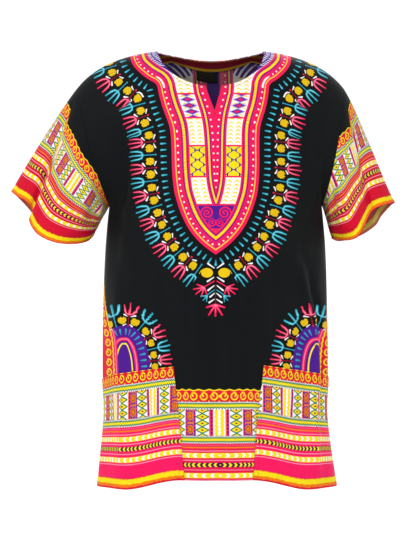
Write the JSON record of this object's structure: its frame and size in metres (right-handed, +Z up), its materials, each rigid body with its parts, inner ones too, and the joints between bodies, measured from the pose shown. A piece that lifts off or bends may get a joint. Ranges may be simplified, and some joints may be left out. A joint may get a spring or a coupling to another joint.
{
  "type": "dashiki shirt",
  "caption": "Short-sleeved pullover shirt with a scooped, slit neck, wide sleeves, patch pockets and side vents, filled out as worn, in printed cotton.",
  "frame": {"origin": "on the shoulder line, midway between the points where the two shoulder seams meet the neck, where a wearer's shoulders hold the shirt up", "axes": "+X to the wearer's left, which is to the right in the front view; -Y out of the front; +Z up, from hem to shoulders"},
  "size_m": [0.676, 0.2811, 0.7604],
  "materials": {
    "printed_body": "plain-weave cotton, black ground with a multicolour print, faint sheen",
    "printed_border": "plain-weave cotton, pink ground with border bands in many colours, faint sheen",
    "facing": "plain-weave cotton, wrong side of the print",
    "label": "woven satin label, bare"
  },
  "bodies": {
    "root": {"front_panel": "printed_body", "back_panel": "printed_body", "right_sleeve": "printed_border", "left_sleeve": "printed_border", "right_pocket": "printed_border", "left_pocket": "printed_border", "back_neck_facing": "facing", "neck_label": "label"}
  },
  "joints": []
}
